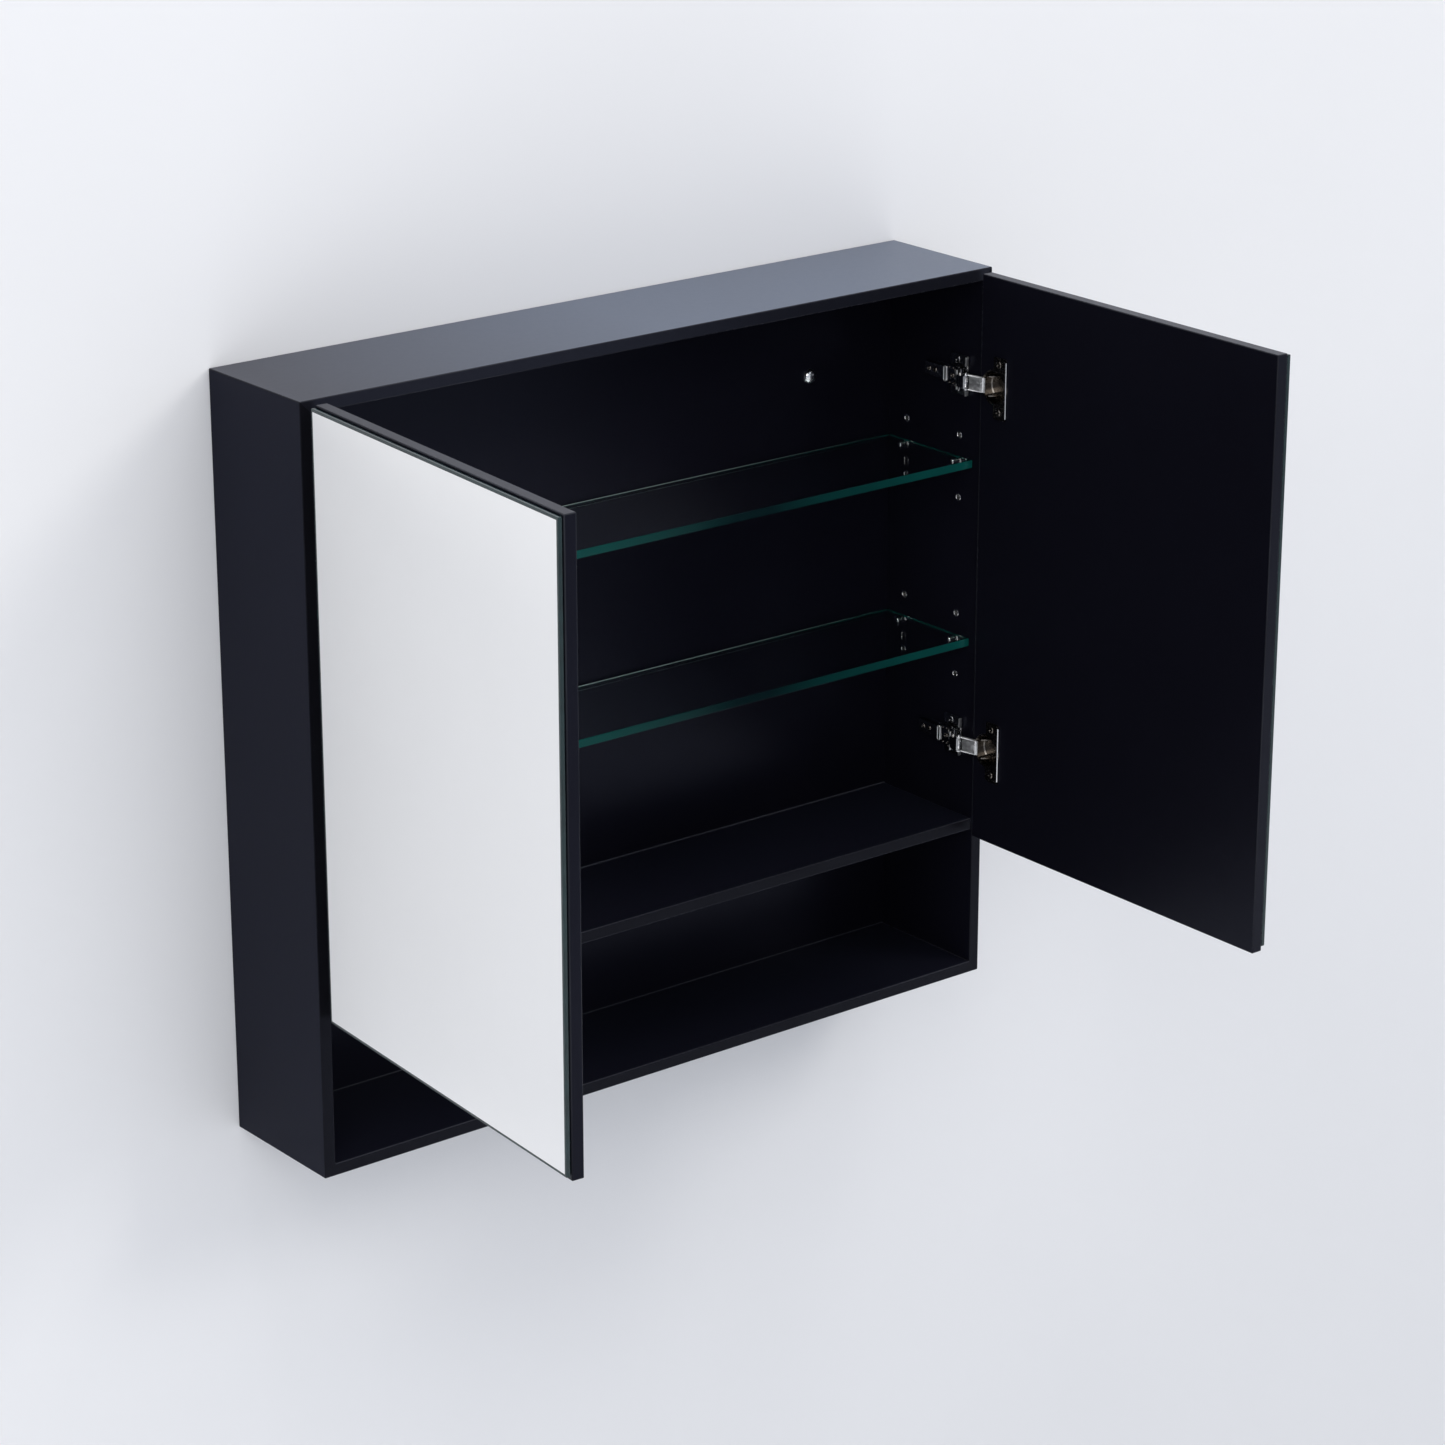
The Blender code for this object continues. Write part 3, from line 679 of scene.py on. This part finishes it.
# ---------------------------------------------------------------- shelves, pins and sleeves
def build_panes():
    """Glass shelves with rounded edges in painted light, and a painted highlight strip along the back of
    their tops.
    """
    for word in ("upper", "lower"):
        name = "glass_shelf_" + word
        low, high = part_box(name)
        strip_start = high.y - SHELF_STRIP_WIDTH
        bm = rounded_block(low, high, 0.0007, 2)
        bmesh.ops.bisect_plane(
            bm, geom=bm.verts[:] + bm.edges[:] + bm.faces[:], dist=TINY,
            plane_co=(0.0, strip_start, 0.0), plane_no=(0.0, 1.0, 0.0))
        piece = new_piece(name + "_pane", bm, [GLASS, SHELF_EDGE, SHELF_STRIP])
        # Edge faces get the painted-light edge; the strip at the back of the top gets the painted
        # highlight.
        for face in piece.data.polygons:
            if abs(face.normal.z) < 0.99:
                face.material_index = 1
            elif face.normal.z > 0 and face.center.y > strip_start:
                face.material_index = 2
        place(weight_normals(piece), "cabinet", "clear_glass", name)


def build_sleeves():
    """Sleeves in the side boards: empty ones as cups, and a bare collar round each shelf pin."""
    profile_empty = [
        (0.0, -0.0085), (0.0024, -0.0085), (0.0024, 0.0002), (0.0027, 0.0005), (0.0033, 0.0005),
        (0.0037, 0.0002), (0.0037, 0.00002), (0.0030, 0.00002), (0.0030, -0.0089), (0.0, -0.0089),
    ]
    profile_ring = [
        (0.0026, 0.00002), (0.0026, 0.0004), (0.0028, 0.0005), (0.0033, 0.0005), (0.0037, 0.0002),
        (0.0037, 0.00002),
    ]
    for word, side in SIDES.items():
        for group, pin in zip(("upper", "lower"), PIN_LEVELS):
            parts = []
            for level in sleeve_levels(pin):
                for row in SLEEVE_ROWS:
                    is_pin = level == pin
                    bm = turned(profile_ring if is_pin else profile_empty, "X", 24, not is_pin)
                    parts.append(moved(bm, sleeve_place(side, row, level)))
            piece = new_piece("sleeves_%s_%s" % (word, group), joined(parts), [BRIGHT_NICKEL])
            place(piece, "cabinet", "nickel_pin")
            for row in ("front", "back"):
                use(BRIGHT_NICKEL, "shelf_pin_%s_%s_%s" % (group, word, row))


# ---------------------------------------------------------------- screws
def cross_head(radius, rise, recess):
    """A raised countersunk screw head about +Z with a cross recess, its seat at height 0."""
    long, short = recess, recess * 0.2
    arm_low, arm_high = rise * 0.05, rise * 1.5
    taper = 0.45
    profile = [
        (0.0, -0.0002), (radius, -0.0002), (radius, rise * 0.25), (radius * 0.93, rise * 0.55),
        (radius * 0.72, rise * 0.85), (radius * 0.42, rise), (0.0, rise),
    ]
    head = new_piece("head", turned(profile, "Z", 24), [])
    for half_x, half_y in ((long, short), (short, long)):
        arm = block((-half_x, -half_y, arm_low), (half_x, half_y, arm_high))
        for v in arm.verts:
            if v.co.z < rise:
                v.co.x *= taper
                v.co.y *= taper
        cut(head, new_piece("arm", arm, []))
    result = bmesh.new()
    result.from_mesh(head.data)
    mesh = head.data
    bpy.data.objects.remove(head)
    bpy.data.meshes.remove(mesh)
    return result


def facing(normal, spin=0.0):
    """Rotation that takes +Z to a direction, after a spin in radians about it."""
    return Vector(normal).to_track_quat("Z", "Y").to_matrix().to_4x4() @ Matrix.Rotation(spin, 4, "Z")


def tube_along(points, radius, count, closed=False):
    """A round bar along a polyline."""
    bm = bmesh.new()
    rings = []
    total = len(points)
    points = [Vector(p) for p in points]
    up = None
    for k, point in enumerate(points):
        before = points[(k - 1) % total] if closed or k > 0 else point
        after = points[(k + 1) % total] if closed or k < total - 1 else point
        tangent = (after - before).normalized()
        if up is None:
            up = tangent.orthogonal().normalized()
        up = (up - tangent * up.dot(tangent)).normalized()
        side = tangent.cross(up)
        rings.append([
            bm.verts.new(point + radius * (cos(2 * pi * i / count) * up + sin(2 * pi * i / count) * side))
            for i in range(count)])
    pairs = list(zip(rings, rings[1:]))
    if closed:
        pairs.append((rings[-1], rings[0]))
    for first, second in pairs:
        for i in range(count):
            j = (i + 1) % count
            bm.faces.new((first[i], first[j], second[j], second[i]))
    if not closed:
        bm.faces.new(rings[0][::-1])
        bm.faces.new(rings[-1])
    return bm


# ---------------------------------------------------------------- concealed hinges
# Each hinge is laid out by u, outwards from the carcass's outer side, by v, forwards from its
# front, and by height from the hinge's own level.  Both u and v are negative inside the cabinet.
def world_x(side, u):
    return side * (CARCASS_HALF_WIDTH + u)


def world_y(v):
    return CARCASS_FRONT - v


def span_x(side, u_a, u_b):
    """Two places u as X, the lower one first."""
    return sorted((world_x(side, u_a), world_x(side, u_b)))


def stadium(side, u, v, level, half_length, half_width, count=8):
    """Closed loop of points, long in Z, on a face that looks towards the cabinet's middle."""
    points = []
    for sign, start in ((1, 0.0), (-1, pi)):
        for i in range(count + 1):
            angle = start + pi * i / count
            points.append((
                world_x(side, u), world_y(v + half_width * cos(angle)),
                level + sign * (half_length - half_width) + half_width * sin(angle)))
    return points


def build_plate(side, tail, level):
    """The mounting plate on the side board: a long stem, a wing above and below, and a block on it."""
    left, right = span_x(side, -BOARD, -BOARD - PLATE_RISE)
    low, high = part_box("mounting_plate_" + tail)
    stem = rounded_block(
        (left, low.y, level - STEM_HALF_WIDTH), (right, high.y, level + STEM_HALF_WIDTH), 0.0006, 2)
    plate = new_piece("mounting_plate_%s_body" % tail, stem, [NICKEL])
    wings = rounded_block(
        (left, world_y(-0.0175), level - WING_HALF_SPAN),
        (right, world_y(-0.0425), level + WING_HALF_SPAN), 0.0009, 2)
    unite(plate, new_piece("wings", wings, [NICKEL]))
    riser = rounded_block(
        (low.x + 0.00005, low.y + 0.001, level - BLOCK_HALF_WIDTH),
        (high.x - 0.00005, high.y - 0.001, level + BLOCK_HALF_WIDTH), 0.0006, 2)
    unite(plate, new_piece("block", riser, [NICKEL]))
    place(plate, "cabinet", "nickel_hinge", "mounting_plate_" + tail)

    screws = []
    for z in PLATE_SCREW_LEVELS:
        seat = Matrix.Translation((world_x(side, -BOARD - 0.0021), world_y(-0.0320), level + z))
        screws.append(moved(cross_head(0.0036, 0.0013, 0.0021), seat @ facing((-side, 0, 0), 0.5 + z * 20)))
    place(new_piece("plate_screws_" + tail, joined(screws), [NICKEL]), "cabinet", "zinc_screw")


def build_hinge(word, level_word):
    side = SIDES[word]
    level = HINGE_LEVELS[level_word]
    tail = "%s_%s" % (word, level_word)
    inward = (-side, 0, 0)
    use(NICKEL, "hinge_arm_" + tail)
    build_plate(side, tail, level)

    # The housing's plan as (v, u).
    outline = [
        (-0.0385, -0.0152), (-0.0385, -0.0228), (-0.0262, -0.0228), (-0.0170, -0.0306),
        (-0.0150, -0.0306), (-0.0150, -0.0215), (-0.0205, -0.0152)]
    housing = prism([(world_x(side, u), world_y(v)) for v, u in outline], level - 0.0100, level + 0.0100)
    bmesh.ops.bevel(housing, geom=housing.edges[:], offset=0.0008, segments=2, profile=0.5, affect="EDGES")
    place(new_piece("hinge_housing_" + tail, housing, [NICKEL]), "cabinet", "nickel_hinge")

    # Two adjusting screws and the arm's own, then the small domes of its rivets.
    fittings = []
    for v, u in ((-0.0660, -0.0218), (-0.0570, -0.0218), (-0.0300, -0.0228)):
        seat = Matrix.Translation((world_x(side, u), world_y(v), level))
        fittings.append(moved(cross_head(0.0025, 0.0008, 0.0016), seat @ facing(inward, v * 90)))
    dome = [(0.0, -0.0001), (0.0008, -0.0001), (0.0008, 0.0003), (0.0005, 0.0006), (0.0, 0.0007)]
    for v, z in ((-0.0345, 0.0078), (-0.0290, 0.0078), (-0.0345, -0.0078), (-0.0290, -0.0078)):
        seat = Matrix.Translation((world_x(side, -0.0228), world_y(v), level + z))
        fittings.append(moved(turned(dome, "Z", 12), seat @ facing(inward)))
    slope = Vector((-side * 0.0092, 0.0078, 0.0)).normalized()
    for z in (0.0078, -0.0078):
        seat = Matrix.Translation((world_x(side, -0.0268), world_y(-0.0215), level + z))
        fittings.append(moved(turned(dome, "Z", 12), seat @ facing(slope)))
    place(new_piece("arm_fittings_" + tail, joined(fittings), [CUP_NICKEL]), "cabinet", "nickel_hinge")

    # The slot's rim, the nose's pin ends, and a lip on each wing, in the lighter nickel as painted
    # highlights.
    bars = [tube_along(stadium(side, -0.0230, -0.0405, level, 0.0074, 0.0018), 0.0007, 8, True)]
    for z in (-0.0096, 0.0096):
        bars.append(tube_along([
            (world_x(side, -0.0300), world_y(-0.0152), level + z * 0.45),
            (world_x(side, -0.0300), world_y(-0.0152), level + z)], 0.0009, 8))
    left, right = span_x(side, -BOARD - 0.0008, -BOARD - 0.0050)
    for z in WING_LIP_LEVELS:
        bars.append(rounded_block(
            (left, world_y(-0.0168), level + z - 0.0046),
            (right, world_y(-0.0184), level + z + 0.0046), 0.0005, 2))
    place(new_piece("arm_lips_" + tail, joined(bars), [SPECKLED_NICKEL]), "cabinet", "nickel_hinge")

    build_link(word, tail, level)
    build_cup(word, tail, level)


def link_line(tail):
    """Where a link turns, and the direction in which its plate points, in plan, at rest."""
    joint = HINGE_PLACE[tail + "_link_pivot"]
    pivot = Vector((joint.x, joint.y, 0.0))
    corners = [Vector((v.co.x, v.co.y, 0.0)) for v in NODES["hinge_link_" + tail].data.vertices]
    along = (max(corners, key=lambda p: (p - pivot).length) - pivot).normalized()
    return pivot, along


def build_link(word, tail, level):
    """The link's plate with its folded rims, its two ears round the arm's nose and the riveted pin."""
    pivot, along = link_line(tail)
    across = Vector((-along.y, along.x, 0.0)) * SIDES[word]
    laid = Matrix((
        (along.x, across.x, 0.0, pivot.x),
        (along.y, across.y, 0.0, pivot.y),
        (0.0, 0.0, 1.0, level),
        (0.0, 0.0, 0.0, 1.0)))
    plate = rounded_block((0.0046, -0.0007, -0.0074), (LINK_REACH, 0.0007, 0.0074), 0.0004, 2)
    link = new_piece("hinge_link_%s_plate" % tail, plate, [SPECKLED_NICKEL, BRIGHT_NICKEL])
    rivet = [(0.0, 0.0070), (0.0019, 0.0070), (0.0019, 0.0081), (0.0013, 0.0086), (0.0, 0.0087)]
    rim_reach = LINK_REACH - 0.0030
    for sign in (-1, 1):
        low, high = sorted((sign * 0.0066, sign * 0.0077))
        rim = rounded_block((0.0, -0.0009, low), (rim_reach, 0.0022, high), 0.0004, 2)
        unite(link, new_piece("rim", rim, [SPECKLED_NICKEL]))
        ear = turned([(0.0, low), (0.0036, low), (0.0036, high), (0.0, high)], "Z", 24)
        unite(link, new_piece("ear", ear, [BRIGHT_NICKEL]))
        head = turned(rivet, "Z", 16)
        if sign < 0:
            bmesh.ops.scale(head, vec=(1.0, 1.0, -1.0), verts=head.verts)
        unite(link, new_piece("rivet", head, [BRIGHT_NICKEL]))
    pin = turned([(0.0, -0.0075), (0.0014, -0.0075), (0.0014, 0.0075), (0.0, 0.0075)], "Z", 16)
    unite(link, new_piece("pin", pin, [BRIGHT_NICKEL]))
    link.data.transform(laid)
    place(link, "hinge_link_" + tail, "nickel_hinge", "hinge_link_" + tail)


def build_cup(word, tail, level):
    """The cup let into the door, its flange with a rolled far edge, and the cheeks that hold the link."""
    side = SIDES[word]
    matrix = swing(word)

    def spot(from_edge, above):
        """Plan position from the door's outer edge and above its inner face, door closed."""
        return (side * (DOOR_OUTER - from_edge), DOOR_BACK + above)

    centre = Vector((*spot(CUP_FROM_EDGE, 0.0), level))
    bowl = turned([
        (0.0158, 0.0006), (0.0176, 0.0010), (0.0180, 0.0003), (0.0172, 0.0003), (0.0172, -0.0100),
        (0.0160, CUP_FLOOR - 0.0005), (0.0, CUP_FLOOR - 0.0005), (0.0, CUP_FLOOR), (0.0148, CUP_FLOOR),
        (0.0157, CUP_FLOOR + 0.0012), (0.0158, 0.0006)], "Y", 48)
    bmesh.ops.remove_doubles(bowl, verts=bowl.verts, dist=TINY)
    parts = [moved(bowl, Matrix.Translation(centre))]

    # The flange's outline as (distance from the edge, height), round the bowl's mouth.
    half, near, far = FLANGE_HALF_LENGTH, CUP_FROM_EDGE - 0.0008, CUP_FROM_EDGE + FLANGE_REACH
    corner = 0.0025
    bite = []
    for i in range(25):
        angle = radians(-88 + 176 * i / 24)
        bite.append((CUP_FROM_EDGE + 0.0159 * cos(angle), 0.0159 * sin(angle)))
    corners = []
    for cx, cz, start in ((far - corner, half - corner, 90.0), (far - corner, -half + corner, 0.0)):
        for i in range(5):
            angle = radians(start - 90.0 * i / 4)
            corners.append((cx + corner * cos(angle), cz + corner * sin(angle)))
    outline = bite + [(near, 0.0160), (near, half - 0.0015), (near + 0.0015, half)] + corners
    outline += [(near + 0.0015, -half), (near, -half + 0.0015), (near, -0.0160)]
    flange = prism(outline, 0.0003, 0.0012)
    for v in flange.verts:
        x, y = spot(v.co.x, v.co.z)
        v.co = Vector((x, y, level + v.co.y))
    parts.append(flange)
    roll = 0.0011
    x, y = spot(far - 0.0008, roll)
    parts.append(tube_along([(x, y, level - half + 0.0030), (x, y, level + half - 0.0030)], roll, 12))
    cup = new_piece("hinge_cup_%s_bowl" % tail, joined(parts), [CUP_NICKEL, BRIGHT_NICKEL])
    # Faces standing proud on the door side, the rolled edge among them, get the bright nickel as a painted
    # highlight.
    for face in cup.data.polygons:
        if abs(face.center.x) < abs(x) + roll and face.center.y > DOOR_BACK + 0.0008:
            face.material_index = 1
    cup.data.transform(matrix)
    place(cup, word + "_door", "nickel_hinge", "hinge_cup_" + tail)

    profile = [
        (0.0089, CUP_FLOOR + 0.0001), (0.0089, -0.0008), (0.0100, 0.0012), (0.0112, 0.0016),
        (0.0135, 0.0016), (0.0175, -0.0035), (0.0195, CUP_FLOOR + 0.0001)]
    cheeks = []
    for sign in (-1, 1):
        low, high = sorted((sign * 0.0092, sign * 0.0102))
        cheeks.append(prism([spot(*point) for point in profile], level + low, level + high))
    bracket = new_piece("cup_bracket_" + tail, joined(cheeks), [CUP_NICKEL])
    bracket.data.transform(matrix)
    place(bracket, word + "_door", "nickel_hinge")

    screws = []
    for z in CUP_SCREW_LEVELS:
        seat = Matrix.Translation((*spot(CUP_FROM_EDGE + 0.0065, 0.0012), level + z))
        head = moved(cross_head(0.0034, 0.0010, 0.0020), seat @ facing((0, 1, 0), 0.4 + z * 12))
        screws.append(moved(head, matrix))
    place(new_piece("cup_screws_" + tail, joined(screws), [CUP_NICKEL]), word + "_door", "zinc_screw")


def build_hinges():
    for word in SIDES:
        for level_word in HINGE_LEVELS:
            build_hinge(word, level_word)
        use(CHROME, "screw_cap_" + word)
        use(ZINC, "wall_screw_" + word)


# ---------------------------------------------------------------- doors
def build_door(word):
    """A door leaf with its cup bores, and the mirror glued to its face."""
    side = SIDES[word]
    door = word + "_door"
    matrix = swing(word)
    inner, outer = sorted((side * DOOR_MEETING, side * DOOR_OUTER))
    board = rounded_block((inner, DOOR_FACE, DOOR_LOW), (outer, DOOR_BACK, DOOR_HIGH), 0.0010, 4)
    leaf = mark_faces(new_piece(door + "_leaf", board, [DOOR_LACQUER, DOOR_ARRIS]))
    bore = [
        (0.0, CUP_BORE_FLOOR), (CUP_BORE_RADIUS, CUP_BORE_FLOOR), (CUP_BORE_RADIUS, 0.004), (0.0, 0.004)]
    bores = []
    for level in HINGE_LEVELS.values():
        centre = (side * (DOOR_OUTER - CUP_FROM_EDGE), DOOR_BACK, level)
        bores.append(moved(turned(bore, "Y", 48), Matrix.Translation(centre)))
    cut(leaf, new_piece("bores", joined(bores), [DOOR_LACQUER]))
    leaf.data.transform(matrix)
    place(weight_normals(leaf), door, "black_lacquer_door", door + "_panel")

    # The mirror stands in from the leaf's edges, most of all below, where the leaf is pulled.
    inset = 0.001
    low = (inner + inset, MIRROR_FACE, DOOR_LOW + 0.004)
    high = (outer - inset, MIRROR_BACK, DOOR_HIGH - 0.002)
    bm = rounded_block(low, high, 0.0007, 2)
    bm.normal_update()
    front = [face for face in bm.faces if face.normal.y < -0.99]
    for face in bm.faces:
        face.material_index = 1
    bmesh.ops.inset_region(bm, faces=front, thickness=MIRROR_BORDER, use_even_offset=True)
    for face in front:
        face.material_index = 0
    glass = new_piece(word + "_mirror_glass", bm, [SILVER, MIRROR_EDGE])
    glass.data.transform(matrix)
    place(weight_normals(glass), door, "silvered_mirror", word + "_mirror")
    use(FOAM, word + "_mirror_tape")


# ---------------------------------------------------------------- studio
def stage_sheet(name, bm, paint):
    """A flat sheet of the studio, its faces as they were wound."""
    mesh = bpy.data.meshes.new(name)
    bm.to_mesh(mesh)
    bm.free()
    sheet = bpy.data.objects.new(name, mesh)
    bpy.context.scene.collection.objects.link(sheet)
    mesh.materials.append(paint)


def build_room():
    """A floor, and a wall with an opening behind the cabinet, so that light reaches its back too."""
    floor_level = -1.35
    wall_plane = 0.0006
    overlap = 0.006
    bm = bmesh.new()
    xs = (-7.0, -CARCASS_HALF_WIDTH + overlap, CARCASS_HALF_WIDTH - overlap, 7.0)
    zs = (floor_level, -CARCASS_TOP + overlap, CARCASS_TOP - overlap, 5.0)
    verts = [[bm.verts.new((x, wall_plane, z)) for x in xs] for z in zs]
    for r in range(3):
        for c in range(3):
            if (r, c) != (1, 1):
                bm.faces.new((verts[r][c], verts[r][c + 1], verts[r + 1][c + 1], verts[r + 1][c]))
    stage_sheet("wall", bm, painted_wall("wall_paint", (0.79, 0.79, 0.80), (0.81, 0.81, 0.82), True))

    bm = bmesh.new()
    corners = ((-7, -9), (7, -9), (7, 7), (-7, 7))
    bm.faces.new([bm.verts.new((x, y, floor_level)) for x, y in corners])
    stage_sheet("floor", bm, painted_wall("floor_paint", (0.78, 0.79, 0.80), (0.80, 0.81, 0.82), False))


def area_light(name, location, target, size, power, colour):
    light = bpy.data.lights.new(name, "AREA")
    light.shape = "RECTANGLE"
    light.size, light.size_y = size
    light.energy = power
    light.color = colour
    lamp = bpy.data.objects.new(name, light)
    bpy.context.scene.collection.objects.link(lamp)
    lamp.location = location
    lamp.rotation_euler = (Vector(target) - Vector(location)).to_track_quat("-Z", "Y").to_euler()
    return lamp


def build_lights():
    world = bpy.data.worlds.new("studio")
    world.use_nodes = True
    background = world.node_tree.nodes["Background"]
    background.inputs["Color"].default_value = (0.84, 0.89, 1.0, 1.0)
    background.inputs["Strength"].default_value = 0.66
    bpy.context.scene.world = world
    soft_white = (1.0, 0.985, 0.96)
    area_light("key", (2.7, -3.0, 2.6), (0.0, 0.0, 0.0), (1.6, 1.6), 58.0, (1.0, 0.97, 0.92))
    area_light("fill", (-3.1, -3.3, 3.0), (-0.2, 0.0, 0.0), (2.5, 2.5), 54.0, soft_white)
    # The wash lights the wall beside the cabinet and stays out of the mirrors.
    wash = area_light("wash", (-1.75, -1.25, -0.15), (-0.66, 0.0, -0.12), (0.8, 1.4), 5.5, soft_white)
    wash.visible_glossy = False
    area_light("overhead", (0.2, -1.2, 3.2), (0.1, 0.0, 0.3), (2.4, 1.6), 34.0, (1.0, 0.98, 0.95))


def build_camera():
    """A long lens in front of the cabinet, to its left and above it."""
    data = bpy.data.cameras.new("camera")
    data.lens = 108.4
    data.sensor_width = 36.0
    camera = bpy.data.objects.new("camera", data)
    bpy.context.scene.collection.objects.link(camera)
    camera.location = (-2.371, -3.206, 1.354)
    camera.rotation_euler = (radians(70.56), 0.0, radians(-38.53))
    bpy.context.scene.camera = camera


build_camera()
build_carcass()
build_panes()
build_sleeves()
build_door("left")
build_door("right")
build_hinges()
build_room()
build_lights()
bpy.context.scene.view_settings.view_transform = "Standard"
